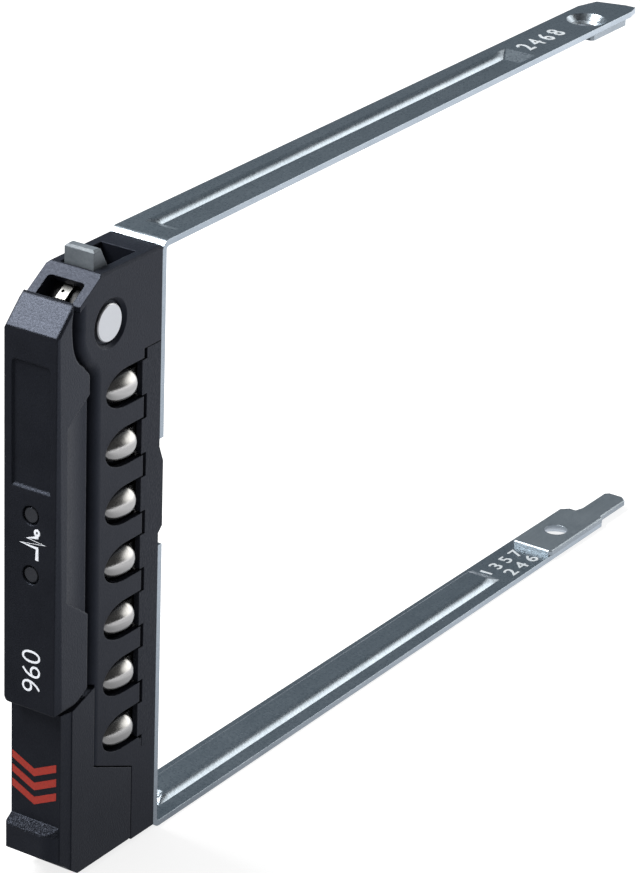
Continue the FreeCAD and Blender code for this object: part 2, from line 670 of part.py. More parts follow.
# ----------------------------------------------------------------------- pivot
def pivot_pin():
    y, z = PIVOT
    face = HALF - PIN_SUNK
    head = rod(PIN_HEAD_R, V(face - PIN_HEAD, y, z), V(face, y, z))
    head = bevel_edges(head, 0.12, lambda c, e: c.x > face - 0.01)
    return head.fuse(rod(PIN_R, V(-HALF + PIN_SUNK, y, z), V(face - PIN_HEAD, y, z)))


def pin_ring():
    """Push-on ring that keeps the pin in the far cheek."""
    y, z = PIVOT
    start = V(-HALF + PIN_SUNK, y, z)
    end = V(-HALF + PIN_SUNK + RING_THICK, y, z)
    return rod(RING_R, start, end).cut(rod(PIN_R, start - V(1, 0, 0), end + V(1, 0, 0)))


# ----------------------------------------------------------------------- lever
def lever_core():
    """Die-cast lever: barrel, hook, neck and the long plate inside the cover."""
    y, z = PIVOT
    half = CORE_WIDTH / 2
    core = rod(BARREL_R, V(-half, y, z), V(half, y, z))
    hook_half = HOOK_WIDTH / 2
    hook_top = HOUSING_TOP + HOOK_RISE
    hook_back = -HOOK_FRONT + HOOK_TOP_DEPTH
    hook = side_prism([(-HOOK_FRONT, z), (-HOOK_FRONT, hook_top), (hook_back, hook_top),
                       (hook_back + HOOK_RAMP, hook_top - 2.3),
                       (hook_back + HOOK_RAMP + 0.6, z + 2.6), (hook_back + HOOK_RAMP, z)],
                      -hook_half, hook_half)
    hook = bevel_edges(hook, 0.3, lambda c, e: c.z > HOUSING_TOP + 0.2)
    neck_top = z + NECK_TOP
    neck = box(-half, half, -CORE_FRONT, y, neck_top - NECK_DEPTH, neck_top)
    plate = box(-half - 0.1, half + 0.1, -CORE_FRONT, -PLATE_BACK, CORE_END, neck_top)
    nose = box(-TOOTH_WIDTH / 2, TOOTH_WIDTH / 2, -PLATE_BACK, -PLATE_BACK + 1.2,
               CORE_END, CORE_END + 1.0)
    low = anchor_low()
    pad = side_prism([on_slope(-ANCHOR_RISE, low - 1.2), on_slope(-ANCHOR_RISE, low),
                      on_slope(ANCHOR_FALL, low), on_slope(ANCHOR_FALL, low - 1.2)],
                     ANCHOR_X - ANCHOR_WIDTH / 2, ANCHOR_X + ANCHOR_WIDTH / 2)
    core = core.fuse([hook, neck, plate, nose, pad])
    core = core.cut([
        rod(PIN_R + RUNNING_FIT, V(-9, y, z), V(9, y, z)),
        kick_pocket()])
    for height in LIGHTS.values():
        core = core.cut(rod(LENS_BODY_R + 0.2, V(0, -30, height), V(0, 0, height)))
    for height in COVER_SCREWS.values():
        core = core.cut(rod(COVER_SCREW_R + 0.05, V(0, -30, height), V(0, y, height)))
    return core.removeSplitter()


def anchor_low():
    """Underside of the spring's anchor tab, square out from the pivot."""
    reach = slope_height() - BRIDGE - ANCHOR_GAP
    return math.sqrt(reach ** 2 - ANCHOR_FALL ** 2) - ANCHOR_THICK


def spring_anchor():
    """Bright steel tab on the core, seen through the window in the slope."""
    low = anchor_low()
    top = low + ANCHOR_THICK
    tab = side_prism([on_slope(-ANCHOR_RISE, low), on_slope(-ANCHOR_RISE, top),
                      on_slope(ANCHOR_FALL, top), on_slope(ANCHOR_FALL, low)],
                     ANCHOR_X - ANCHOR_WIDTH / 2, ANCHOR_X + ANCHOR_WIDTH / 2)
    side = ANCHOR_X - ANCHOR_WIDTH / 5
    hole = rod(0.22, V(side, *on_slope(0.6, low - 0.1)), V(side, *on_slope(0.6, low + 1)))
    return tab.cut(hole)


def kick_pocket():
    """Ring-shaped recess in the barrel's -X end for the kick spring."""
    y, z = PIVOT
    half = CORE_WIDTH / 2
    outer = rod(KICK_R + KICK_WIRE, V(-half - 1, y, z), V(-half + kick_length() + 0.7, y, z))
    inner = rod(KICK_R - KICK_WIRE, V(-half - 1, y, z), V(-half + kick_length() + 0.7, y, z))
    return outer.cut(inner)


def kick_length():
    return KICK_TURNS * KICK_WIRE * 1.2


def lever_spring():
    """Torsion coil round the pin that kicks the lever open."""
    spring = coil(KICK_R, KICK_WIRE, KICK_TURNS, kick_length())
    spring.rotate(V(0, 0, 0), V(0, 1, 0), 90)
    spring.translate(V(-CORE_WIDTH / 2 + KICK_WIRE / 2, *PIVOT))
    return spring


def cover_side(inset, top_wall):
    """Ends of the sloped top, seen from the side, with walls taken off."""
    front = -COVER_FRONT + inset
    drop = math.sqrt(2) * top_wall
    rear_top = (-COVER_TOP_REAR, HEIGHT - COVER_TOP_DROP - drop)
    front_top = (front, rear_top[1] - (rear_top[0] - front))
    return front_top, rear_top


def cover_outline():
    """Side outline: sloped top, flat front, raked bottom, and a hollow round the boss."""
    front_top, rear_top = cover_side(0, 0)
    reach = BOSS_R + COVER_GAP
    shift = COVER_SIDE_BACK + PIVOT[0]
    corner = COVER_WALL
    centre = (-shift - corner, -math.sqrt((reach + corner) ** 2 - (shift + corner) ** 2))
    share = reach / (reach + corner)
    leave = (PIVOT[0] + centre[0] * share, PIVOT[1] + centre[1] * share)
    land = (-COVER_SIDE_BACK, PIVOT[1] + centre[1])
    turn = math.atan2(leave[1] - land[1], leave[0] - (PIVOT[0] + centre[0]))
    middle = (PIVOT[0] + centre[0] + corner * math.cos(turn / 2),
              PIVOT[1] + centre[1] + corner * math.sin(turn / 2))
    swell = COVER_SWELL - COVER_GAP
    edges = side_lines([rear_top, front_top, (-COVER_FRONT, COVER_BOTTOM),
                        (-COVER_FRONT + COVER_LIP, COVER_BOTTOM),
                        (-COVER_SIDE_BACK, COVER_BOTTOM + COVER_LIP_RISE), land])
    edges.append(arc(land, middle, leave))
    edges.append(arc(leave, from_pivot(-42, reach), from_pivot(-36, reach)))
    edges.append(curve([from_pivot(-36, reach), from_pivot(-14, reach + 0.65 * swell),
                        from_pivot(8, reach + swell), from_pivot(22, BOSS_R + COVER_CREST), rear_top]))
    return edges


def cover_facet():
    """Wedge off the front corner on the contact side, wider towards the foot."""
    lean = FACET_DEEP / FACET_WIDE
    ends = []
    for height, width in ((0, FACET_WIDE * 1.3), (HEIGHT, EDGE_BEVEL)):
        corners = [V(HALF - lean * (width + 1), -COVER_FRONT - 1, height),
                   V(HALF + lean, -COVER_FRONT + width + 1, height),
                   V(HALF + lean, -COVER_FRONT - 1, height)]
        ends.append(Part.makePolygon(corners + [corners[0]]))
    return Part.makeLoft(ends, True, True)


def label_recess():
    """Shallow recess for a label, with a sloped ledge along its bottom."""
    front = -COVER_FRONT
    half = LABEL_WIDTH / 2
    recess = box(-half, half, front - 1, front + LABEL_DEPTH,
                 LABEL_BOTTOM, HEIGHT - LABEL_TOP_DROP)
    recess = round_edges(recess, LABEL_ROUND, lambda c, e: (
        along(e, V(0, 1, 0)) and c.z > LABEL_BOTTOM + 1))
    ledge = side_prism([(front - 1, LABEL_BOTTOM - LABEL_LIP), (front, LABEL_BOTTOM - LABEL_LIP),
                        (front + LABEL_DEPTH, LABEL_BOTTOM), (front - 1, LABEL_BOTTOM)],
                       -half, half)
    return recess.fuse(ledge)


def cover():
    """Moulded front cover, open to the rear, hollow round the lever's core."""
    body = extrude_x(cover_outline(), -HALF, HALF)
    front_top, rear_top = cover_side(0, 0)
    slope_middle = V(0, (front_top[0] + rear_top[0]) / 2, (front_top[1] + rear_top[1]) / 2)
    body = round_edges(body, COVER_FOOT_ROUND, lambda c, e: (
        abs(c.y + COVER_FRONT) < 0.01 and c.z < COVER_BOTTOM + 0.01))
    corners = box(-HALF, HALF, -2 * COVER_FRONT, 0, COVER_BOTTOM, HEIGHT)
    body = body.common(round_edges(corners, COVER_CORNER, lambda c, e: (
        along(e, V(0, 1, 0)) and c.z < COVER_BOTTOM + 0.01)))
    body = bevel_edges(body, EDGE_BEVEL, lambda c, e: (
        abs(abs(c.x) - HALF) < 0.01 and (V(0, c.y, c.z) - slope_middle).Length < 0.1))
    body = body.cut([cover_facet(), cover_hollow(), scoop(1), scoop(-1), label_recess()])
    wall = -COVER_FRONT + COVER_WALL
    for height in LIGHTS.values():
        body = body.fuse(rod(LENS_BODY_R + 0.5, V(0, wall - 0.1, height),
                             V(0, wall + 0.3, height)))
        body = body.cut([
            rod(LENS_R, V(0, -COVER_FRONT - 1, height), V(0, wall, height)),
            rod(LENS_RIM_R, V(0, -COVER_FRONT - 1, height), V(0, -COVER_FRONT + LENS_WELL, height)),
            rod(LENS_BODY_R, V(0, wall - 0.2, height), V(0, wall + 1, height))])
    for height in COVER_SCREWS.values():
        post = rod(1.5, V(0, wall - 0.1, height), V(0, -CORE_FRONT, height))
        body = body.fuse(post).cut(rod(COVER_SCREW_R, V(0, wall - 0.5, height),
                                       V(0, -CORE_FRONT + 1, height)))
    return body.removeSplitter()


def cover_hollow():
    """The space inside the cover: inside its walls, open to the rear."""
    front_top, rear_top = cover_side(COVER_WALL, COVER_TOP_WALL)
    high = rear_top[1] + 5
    lip = -COVER_FRONT + COVER_LIP + 0.2
    inner = [(-COVER_FRONT + COVER_WALL, COVER_BOTTOM + COVER_WALL), front_top, rear_top,
             (rear_top[0] + 5, high), (0, high), (0, COVER_BOTTOM - 1), (lip, COVER_BOTTOM - 1),
             (lip, COVER_BOTTOM + COVER_WALL)]
    return side_prism(inner, -INNER_COVER, INNER_COVER)


def scoop(side):
    """Shallow concave finger hollow at the rear edge of the cover's side."""
    front = COVER_FRONT - SCOOP_SETBACK
    back = COVER_SIDE_BACK - 0.5
    start = V(side * HALF, -front, 0)
    deepest = V(side * (HALF - SCOOP_DEPTH), -(0.4 * front + 0.6 * back), 0)
    end = V(side * (HALF - SCOOP_REAR_DEPTH), -back, 0)
    far = [V(side * (HALF + 1), -back, 0), V(side * (HALF + 1), -front, 0)]
    rim = [Part.Arc(start, deepest, end).toShape(), Part.makeLine(end, far[0]),
           Part.makeLine(far[0], far[1]), Part.makeLine(far[1], start)]
    groove = Part.Face(Part.Wire(rim)).extrude(V(0, 0, HEIGHT))
    outline = [(-front - 0.01, SCOOP_BOTTOM), (-front - 0.01, SCOOP_TOP),
               (-back, SCOOP_TOP + SCOOP_FLARE), (-back, SCOOP_BOTTOM - SCOOP_FLARE)]
    return groove.common(side_prism(outline, -HALF - 2, HALF + 2))


def lens(height):
    """Light pipe: a small round window in the cover, with its body behind."""
    wall = -COVER_FRONT + COVER_WALL - 0.2
    tip = rod(LENS_R, V(0, -COVER_FRONT + LENS_SUNK, height), V(0, wall, height))
    return tip.fuse(rod(LENS_BODY_R, V(0, wall, height), V(0, -PLATE_BACK + 0.8, height)))


def cover_screw(height):
    """Small pan-head screw through the core's plate into a post of the cover."""
    back = -PLATE_BACK
    shank = rod(COVER_SCREW_R, V(0, -COVER_FRONT + COVER_WALL - 0.5, height), V(0, back, height))
    head = rod(COVER_SCREW_HEAD_R, V(0, back, height), V(0, back + 0.6, height))
    cross = box(-0.7, 0.7, back + 0.3, back + 1, height - 0.15, height + 0.15)
    cross = cross.fuse(box(-0.15, 0.15, back + 0.3, back + 1, height - 0.7, height + 0.7))
    return shank.fuse(head).cut(cross)


# ----------------------------------------------------------------------- latch
def latch_cheeks():
    """The two L-shaped sides, as one solid block across the latch."""
    outline = [(-LATCH_STEP, latch_top(LATCH_STEP)), (-LATCH_BACK, latch_top(LATCH_BACK)),
               (-LATCH_BACK, LATCH_LEG_HIGH), (-LATCH_LEG_BACK, LATCH_LEG_LOW),
               (-LATCH_LEG_BACK, LATCH_BOTTOM), (-LATCH_FRONT + HOLLOW_REACH, LATCH_BOTTOM),
               (-LATCH_STEP, LATCH_BOTTOM + 0.9)]
    cheeks = side_prism(outline, -HALF, HALF)
    return round_edges(cheeks, 0.5, lambda c, e: (
        c.z < LATCH_BOTTOM + 0.01 and c.y > -LATCH_LEG_BACK - 0.01))


def latch_front():
    """Front wall, with a shallow facet down its contact side."""
    low = LATCH_BOTTOM + 0.9
    high = latch_top(LATCH_STEP)
    right = HALF - LATCH_STEP_IN
    wall = side_prism([(-LATCH_STEP, high), (-LATCH_STEP, low),
                       (-LATCH_FRONT, low + LATCH_FACET), (-LATCH_FRONT, high)], -HALF, HALF)
    plan = plan_prism([(-HALF, -LATCH_STEP), (-HALF, -LATCH_FRONT),
                       (right - LATCH_FACET_IN, -LATCH_FRONT), (right, -LATCH_STEP)], 0, HEIGHT)
    return wall.common(plan)


def thumb_ledge():
    """Ledge across the foot of the front wall, turned in towards the contact side."""
    front = LATCH_FRONT + LEDGE_REACH
    back = LATCH_FRONT - 0.8
    slope = LEDGE_DROP / LEDGE_REACH
    right = HALF - LATCH_STEP_IN - LATCH_FACET_IN
    ledge = side_prism([(-back, LEDGE_TOP + 0.8 * slope), (-front, LEDGE_TOP - LEDGE_DROP),
                        (-front, LEDGE_BOTTOM), (-LATCH_STEP + 0.5, LATCH_BOTTOM + 0.9)],
                       -HALF, right)
    for x, radius in ((right, LEDGE_TURN), (-HALF, LEDGE_ROUND)):
        ledge = round_edges(ledge, radius, lambda c, e: (
            abs(c.x - x) < 0.01 and abs(c.y + front) < 0.01))
    return ledge


def release_latch():
    """Sliding latch: thumb ledge in front, two L-shaped cheeks round the core."""
    body = latch_cheeks().fuse([latch_front(), thumb_ledge()]).cut(thumb_hollow())
    half = LATCH_INNER
    inside = -LATCH_FRONT + LATCH_WALL
    body = body.cut([
        box(-half, half, -HOUSING_DEPTH - 4 * LATCH_GAP, 0, -1, HEIGHT),
        box(-half, half, inside, 0, LATCH_BOTTOM + 2.8, LATCH_SHELF)])
    tooth = box(-TOOTH_WIDTH / 2, TOOTH_WIDTH / 2, -LATCH_STEP + 0.2, -LATCH_STEP + 1.2,
                LATCH_SHELF, CORE_END - 2 * LATCH_GAP)
    guide = box(half - GUIDE_HEIGHT, half + 0.1, -GUIDE_DEPTH - GUIDE_WIDTH / 2,
                -GUIDE_DEPTH + GUIDE_WIDTH / 2, LATCH_BOTTOM + 1, LATCH_LEG_LOW - 1)
    return body.fuse([tooth, guide, guide.mirror(V(0, 0, 0), V(1, 0, 0))]).removeSplitter()


def thumb_hollow():
    """Concave scoop under the thumb ledge, on a cylinder across the latch."""
    start = V(0, -LATCH_FRONT - LEDGE_REACH, LEDGE_BOTTOM)
    end = V(0, -LATCH_FRONT + HOLLOW_REACH, LATCH_BOTTOM)
    outward = V(0, -(start.z - end.z), -(end.y - start.y)).normalize()
    centre = (start + end) / 2 + outward * (HOLLOW_R - HOLLOW_SAG)
    return rod(HOLLOW_R, V(-HALF - 1, centre.y, centre.z),
               V(HALF - LATCH_CHEEK, centre.y, centre.z))


def latch_spring():
    """Compression coil that pushes the latch back up."""
    length = LATCH_SHELF - SPRING_SEAT - SPRING_WIRE
    spring = coil(SPRING_R, SPRING_WIRE, SPRING_TURNS, length)
    spring.translate(V(0, -HOUSING_DEPTH - 2.0, SPRING_SEAT + SPRING_WIRE / 2))
    return spring


# ---------------------------------------------------------------------- export
PIECES = {
    "bracket": bracket(),
    "lower_end_plate": lower_end_plate(),
    "upper_end_plate": upper_end_plate(),
    "lower_web_screw": web_screw(WEB_SCREWS["lower"]),
    "upper_web_screw": web_screw(WEB_SCREWS["upper"]),
    "housing": housing(),
    "rear_strip": rear_strip(),
    "contact_strip": contact_strip(),
    "lower_light_guide": light_guide(LIGHTS["lower"]),
    "upper_light_guide": light_guide(LIGHTS["upper"]),
    "pivot_pin": pivot_pin(),
    "pin_ring": pin_ring(),
    "lever_core": lever_core(),
    "spring_anchor": spring_anchor(),
    "lever_spring": lever_spring(),
    "front_cover": cover(),
    "lower_lens": lens(LIGHTS["lower"]),
    "upper_lens": lens(LIGHTS["upper"]),
    "lower_cover_screw": cover_screw(COVER_SCREWS["lower"]),
    "upper_cover_screw": cover_screw(COVER_SCREWS["upper"]),
    "release_latch": release_latch(),
    "latch_spring": latch_spring(),
}

front_most = max(COVER_FRONT, LATCH_FRONT + LEDGE_REACH)
to_base_centre = V((HALF - DOME_TOP) / 2, (front_most - TAB_TIP) / 2, 0)
os.makedirs("parts", exist_ok=True)
for name, shape in PIECES.items():
    shape.translate(to_base_centre)
    shape.exportStep("parts/" + name + ".step")
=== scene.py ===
"""Hot-swap drive carrier: finishes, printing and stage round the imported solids."""
import bpy
import bmesh
import math
from mathutils import Euler, Matrix, Vector


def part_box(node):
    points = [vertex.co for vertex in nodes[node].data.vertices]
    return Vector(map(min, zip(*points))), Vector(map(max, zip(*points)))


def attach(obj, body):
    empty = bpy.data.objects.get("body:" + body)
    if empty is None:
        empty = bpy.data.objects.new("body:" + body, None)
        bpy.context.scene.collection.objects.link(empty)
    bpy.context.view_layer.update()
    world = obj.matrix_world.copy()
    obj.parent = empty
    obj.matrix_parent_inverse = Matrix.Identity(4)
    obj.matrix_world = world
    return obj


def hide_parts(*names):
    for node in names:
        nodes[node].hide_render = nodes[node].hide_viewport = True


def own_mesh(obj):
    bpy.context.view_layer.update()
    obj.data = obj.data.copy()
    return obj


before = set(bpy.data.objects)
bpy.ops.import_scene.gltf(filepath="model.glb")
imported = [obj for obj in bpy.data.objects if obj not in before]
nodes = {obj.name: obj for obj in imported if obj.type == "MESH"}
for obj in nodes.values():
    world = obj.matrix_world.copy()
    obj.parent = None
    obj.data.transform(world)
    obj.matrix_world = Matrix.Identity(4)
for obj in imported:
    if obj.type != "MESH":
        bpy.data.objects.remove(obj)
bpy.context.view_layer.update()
MM = 0.001


# ---------------------------------------------------------------- bracket arms
# One strip of zinc-plated sheet steel, blanked, pressed with a rib along each arm
# and folded into a U.  The plating is satin and blue-grey, with a fine tooth from
# the rolls that shows as sparkle along the rib's walls.
PLATING_DARK = (0.35, 0.40, 0.44)
PLATING_PALE = (0.43, 0.48, 0.52)
ARM_EDGE = 0.00012
UPPER_RIB_SIDE = (-0.002275, -0.001175)
LOWER_RIB_SIDE = (0.000325, 0.001425)
RIB_FRONT_RUN = (-0.0452, -0.0434)
RIB_REAR_RUN = (0.0330, 0.0352)
BETWEEN_ARMS = 0.04
RIB_ROLL = 0.00065


def new_material(name):
    """Node material with its shader and the shared object coordinates."""
    material = bpy.data.materials.new(name)
    material.use_nodes = True
    tree = material.node_tree
    shader = tree.nodes["Principled BSDF"]
    place = tree.nodes.new("ShaderNodeTexCoord").outputs["Object"]
    return material, tree, shader, place


def stretched(tree, place, scale):
    """Coordinates scaled by axis, in repeats per metre."""
    mapping = tree.nodes.new("ShaderNodeMapping")
    mapping.inputs["Scale"].default_value = scale
    tree.links.new(place, mapping.inputs["Vector"])
    return mapping.outputs["Vector"]


def noise(tree, vector, scale, detail=3.0, rough=0.55):
    """Grey noise in 0..1."""
    node = tree.nodes.new("ShaderNodeTexNoise")
    node.inputs["Scale"].default_value = scale
    node.inputs["Detail"].default_value = detail
    node.inputs["Roughness"].default_value = rough
    tree.links.new(vector, node.inputs["Vector"])
    return node.outputs["Fac"]


def spread(tree, value, low, high, start, end):
    """Map a value from low..high to start..end."""
    node = tree.nodes.new("ShaderNodeMapRange")
    sockets = ("From Min", "From Max", "To Min", "To Max")
    for socket, number in zip(sockets, (low, high, start, end)):
        node.inputs[socket].default_value = number
    tree.links.new(value, node.inputs["Value"])
    return node.outputs["Result"]


def blend_colors(tree, factor, first, second):
    """Mix of two colours; each is a tuple or an output."""
    node = tree.nodes.new("ShaderNodeMix")
    node.data_type = "RGBA"
    tree.links.new(factor, node.inputs["Factor"])
    for socket, color in ((6, first), (7, second)):
        if isinstance(color, tuple):
            node.inputs[socket].default_value = (*color, 1)
        else:
            tree.links.new(color, node.inputs[socket])
    return node.outputs[2]


def blend_values(tree, factor, first, second):
    """Mix of two values."""
    node = tree.nodes.new("ShaderNodeMix")
    for link, socket in ((factor, "Factor"), (first, 2), (second, 3)):
        tree.links.new(link, node.inputs[socket])
    return node.outputs[0]


def surface_relief(tree, shader, height, depth, strength, edge=0.0, profile=None, rise=0.0):
    """Bump from a height, over edges rounded by a small radius and a wider profile."""
    normal = None
    if edge:
        rounded = tree.nodes.new("ShaderNodeBevel")
        rounded.samples = 4
        rounded.inputs["Radius"].default_value = edge
        normal = rounded.outputs["Normal"]
    for level, distance, force in ((profile, rise, 1.0), (height, depth, strength)):
        if level is None:
            continue
        bump = tree.nodes.new("ShaderNodeBump")
        bump.inputs["Distance"].default_value = distance
        bump.inputs["Strength"].default_value = force
        tree.links.new(level, bump.inputs["Height"])
        if normal:
            tree.links.new(normal, bump.inputs["Normal"])
        normal = bump.outputs["Normal"]
    tree.links.new(normal, shader.inputs["Normal"])


def combine(tree, operation, first, second):
    """Maths on two values; each is a number or an output."""
    node = tree.nodes.new("ShaderNodeMath")
    node.operation = operation
    for socket, value in zip(node.inputs, (first, second)):
        if isinstance(value, (int, float)):
            socket.default_value = value
        else:
            tree.links.new(value, socket)
    return node.outputs[0]


def axes(tree, place):
    """The three coordinates by themselves."""
    node = tree.nodes.new("ShaderNodeSeparateXYZ")
    tree.links.new(place, node.inputs[0])
    return node.outputs


def steel_finish(name, dark, pale, edge, rough=0.30, tooth=0.45, pressed=None, rise=0.0):
    """Plated or cast metal: drifting tone, fine tooth and rounded edges."""
    material, tree, shader, place = new_material(name)
    rolled = noise(tree, stretched(tree, place, (2400, 120, 2400)), 1.0, 4)
    patch = noise(tree, place, 130, 4, 0.6)
    drift = combine(tree, "ADD", spread(tree, rolled, 0.35, 0.65, 0.0, 0.35),
                    spread(tree, patch, 0.35, 0.65, 0.0, 0.65))
    tree.links.new(blend_colors(tree, drift, dark, pale), shader.inputs["Base Color"])
    grain = noise(tree, place, 3000, 2, 0.7)
    tree.links.new(spread(tree, grain, 0.3, 0.7, rough - 0.05, rough + 0.07), shader.inputs["Roughness"])
    shader.inputs["Metallic"].default_value = 1.0
    profile = pressed(tree, place) if pressed else None
    surface_relief(tree, shader, grain, 0.00005, tooth, edge, profile, rise)
    return material


def pressed_rib(tree, place):
    """Rolled shoulder on the long side of each arm's rib: 0 on the flats, 1/4 half way."""
    x, y, z = axes(tree, place)
    upper = spread(tree, x, *UPPER_RIB_SIDE, 0.0, 1.0)
    lower = spread(tree, x, *LOWER_RIB_SIDE, 0.0, 1.0)
    which = combine(tree, "GREATER_THAN", z, BETWEEN_ARMS)
    across = blend_values(tree, which, lower, upper)
    bulge = combine(tree, "MULTIPLY", across, combine(tree, "SUBTRACT", 1.0, across))
    start = spread(tree, y, *RIB_FRONT_RUN, 0.0, 1.0)
    end = spread(tree, y, *RIB_REAR_RUN, 1.0, 0.0)
    return combine(tree, "MULTIPLY", bulge, combine(tree, "MULTIPLY", start, end))


def dress(node, material):
    """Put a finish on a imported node."""
    slots = nodes[node].material_slots
    if not slots:
        nodes[node].data.materials.append(material)
    for slot in slots:
        slot.material = material


arm_steel = steel_finish("zinc_plated_arm", PLATING_DARK, PLATING_PALE, ARM_EDGE,
                         pressed=pressed_rib, rise=RIB_ROLL)
dress("bracket", arm_steel)

# ------------------------------------------------------------------ end plates
# Two small blanks of the same plated sheet, fixed inside the arms' rear ends to back
# the drive screws.  Smoother and duller than the arms.
plate_steel = steel_finish("zinc_plated_plate", (0.31, 0.35, 0.38), (0.37, 0.41, 0.44),
                           ARM_EDGE, rough=0.48, tooth=0.10)
for name in ("upper_end_plate", "lower_end_plate"):
    dress(name, plate_steel)

# ------------------------------------------------------------- screws and ring
# Headed and plated steel screws that hold the housing to the web and the cover to the
# lever, and the stamped ring that keeps the pivot pin in.
SCREW_EDGE = 0.00005
screw_steel = steel_finish("plated_screw", (0.42, 0.44, 0.46), (0.52, 0.54, 0.56), SCREW_EDGE)
for name in ("upper_web_screw", "lower_web_screw", "upper_cover_screw", "lower_cover_screw",
             "pin_ring"):
    dress(name, screw_steel)


# --------------------------------------------------------------------- housing
# Near-black plastic moulding, screwed to the front of the web.  It has an even fine
# grain, as from a spark-eroded tool, and slightly soft edges.
MOULDED_EDGE = 0.00018
FINE_GRAIN = 4000
GRAIN_TINT = (0.68, 0.77, 1.0)


def plastic_finish(name, color, pale, grain, depth, rough, edge, shine=0.32):
    """Moulded plastic with a spark-eroded grain and softly rounded edges."""
    material, tree, shader, place = new_material(name)
    fine = noise(tree, place, grain, 2, 0.65)
    cloud = noise(tree, place, 240, 3)
    mix = blend_colors(tree, spread(tree, cloud, 0.35, 0.65, 0.0, 1.0), color, pale)
    tree.links.new(mix, shader.inputs["Base Color"])
    tree.links.new(spread(tree, fine, 0.3, 0.7, rough - 0.06, rough + 0.08), shader.inputs["Roughness"])
    shader.inputs["Specular IOR Level"].default_value = shine
    shader.inputs["Specular Tint"].default_value = (*GRAIN_TINT, 1)
    surface_relief(tree, shader, fine, depth, 0.8, edge)
    return material


housing_plastic = plastic_finish("textured_black_housing", (0.0050, 0.0058, 0.0088),
                                 (0.0068, 0.0076, 0.0112), FINE_GRAIN, 0.00003, 0.46,
                                 MOULDED_EDGE, shine=0.28)
dress("housing", housing_plastic)

# ------------------------------------------------------------------ rear strip
# Separate moulding along the housing's rear edge, keyed into the notch in the web.
# Its grain is coarser and duller than the housing's.
STRIP_GRAIN = 3200
STRIP_EDGE = 0.00012
strip_plastic = plastic_finish("grained_black_strip", (0.0065, 0.0073, 0.0100),
                               (0.0090, 0.0098, 0.0130), STRIP_GRAIN, 0.00008, 0.55, STRIP_EDGE)
dress("rear_strip", strip_plastic)


# -------------------------------------------------------------------- contacts
# Seven domed fingers on one strip of stainless spring steel, drawn and polished, that
# touch the neighbouring carrier.
def bright_finish(name, color, rough):
    """Drawn metal with no plating: fine streaks in its tone and its gloss."""
    material, tree, shader, place = new_material(name)
    drawn = noise(tree, stretched(tree, place, (900, 300, 900)), 1.0, 3)
    tree.links.new(spread(tree, drawn, 0.3, 0.7, rough, rough + 0.08), shader.inputs["Roughness"])
    tone = blend_colors(tree, drawn, tuple(0.93 * c for c in color), color)
    tree.links.new(tone, shader.inputs["Base Color"])
    shader.inputs["Metallic"].default_value = 1.0
    return material


contact_steel = bright_finish("polished_contact_spring", (0.475, 0.465, 0.445), 0.20)
dress("contact_strip", contact_steel)

# --------------------------------------------- lever's spring, its anchor and pin
# Kick spring of drawn wire round the lever's pin, the stamped tab that holds its end,
# and the turned pin, whose flat head shows in the housing's boss.
spring_steel = bright_finish("spring_wire", (0.6, 0.6, 0.6), 0.25)
dress("lever_spring", spring_steel)
anchor_steel = bright_finish("spring_anchor_steel", (0.14, 0.14, 0.135), 0.34)
dress("spring_anchor", anchor_steel)
pin_steel = bright_finish("satin_pin", (0.60, 0.61, 0.62), 0.38)
dress("pivot_pin", pin_steel)

# ------------------------------------------------------------------ lever core
# Die casting, blasted grey where its hook stands out of the slot.  Below the housing's
# top it is painted near-black as the housing's shade, so that nothing pale shows through the window in
# the slope.
CAST_EDGE = 0.00014
PAINTED_SHADE_BELOW = 0.0776
PAINTED_SHADE_ENDS_ABOVE = 0.0790
PAINTED_SHADE_BLACK = (0.006, 0.006, 0.007)


def opened(material):
    """A finished material's tree, shader and object coordinates, to work on further."""
    tree = material.node_tree
    place = next(node for node in tree.nodes if node.type == "TEX_COORD").outputs["Object"]
    return tree, tree.nodes["Principled BSDF"], place


hook_metal = steel_finish("blasted_hook", (0.080, 0.094, 0.108), (0.130, 0.148, 0.164),
                          CAST_EDGE, rough=0.55, tooth=0.7)
tree, shader, place = opened(hook_metal)
shader.inputs["Metallic"].default_value = 0.2
# Painted shade: near-black below the housing's top, where the core sits in the housing's shade.
clear_of_painted_shade = spread(tree, axes(tree, place)["Z"], PAINTED_SHADE_BELOW, PAINTED_SHADE_ENDS_ABOVE, 0.0, 1.0)
cast_tone = shader.inputs["Base Color"].links[0].from_socket
tree.links.new(blend_colors(tree, clear_of_painted_shade, PAINTED_SHADE_BLACK, cast_tone), shader.inputs["Base Color"])
dress("lever_core", hook_metal)

# ----------------------------------------------------------------------- cover
# Long near-black moulding, screwed to the lever core.  Its edges are rounder than the
# housing's and its grain is a little shinier.
COVER_DARK = (0.0055, 0.0060, 0.0080)
COVER_PALE = (0.0070, 0.0076, 0.0100)
COVER_EDGE = 0.00030
cover_plastic = plastic_finish("textured_black_cover", COVER_DARK, COVER_PALE, FINE_GRAIN,
                               0.00005, 0.44, COVER_EDGE, shine=0.38)
dress("front_cover", cover_plastic)

# ----------------------------------------------------------------------- latch
# Sliding moulding at the foot, pushed down by a thumb on its ledge.  Only the ledge
# has a coarse pitted grip.
LEDGE_BEFORE = -0.06872
LEDGE_ABOVE = 0.0071
GRIP_GRAIN = 3300
GRIP_DEPTH = 0.00038
latch_plastic = plastic_finish("textured_black_latch", COVER_DARK, COVER_PALE, FINE_GRAIN,
                               0.00005, 0.44, MOULDED_EDGE)
tree, shader, place = opened(latch_plastic)
x, y, z = axes(tree, place)
on_ledge = combine(tree, "MULTIPLY", combine(tree, "LESS_THAN", y, LEDGE_BEFORE),
                   combine(tree, "GREATER_THAN", z, LEDGE_ABOVE))
grip = noise(tree, place, GRIP_GRAIN, 1, 0.5)
pitted = tree.nodes.new("ShaderNodeBump")
pitted.inputs["Distance"].default_value = GRIP_DEPTH
tree.links.new(on_ledge, pitted.inputs["Strength"])
tree.links.new(grip, pitted.inputs["Height"])
smooth_normal = shader.inputs["Normal"].links[0].from_socket
tree.links.new(smooth_normal, pitted.inputs["Normal"])
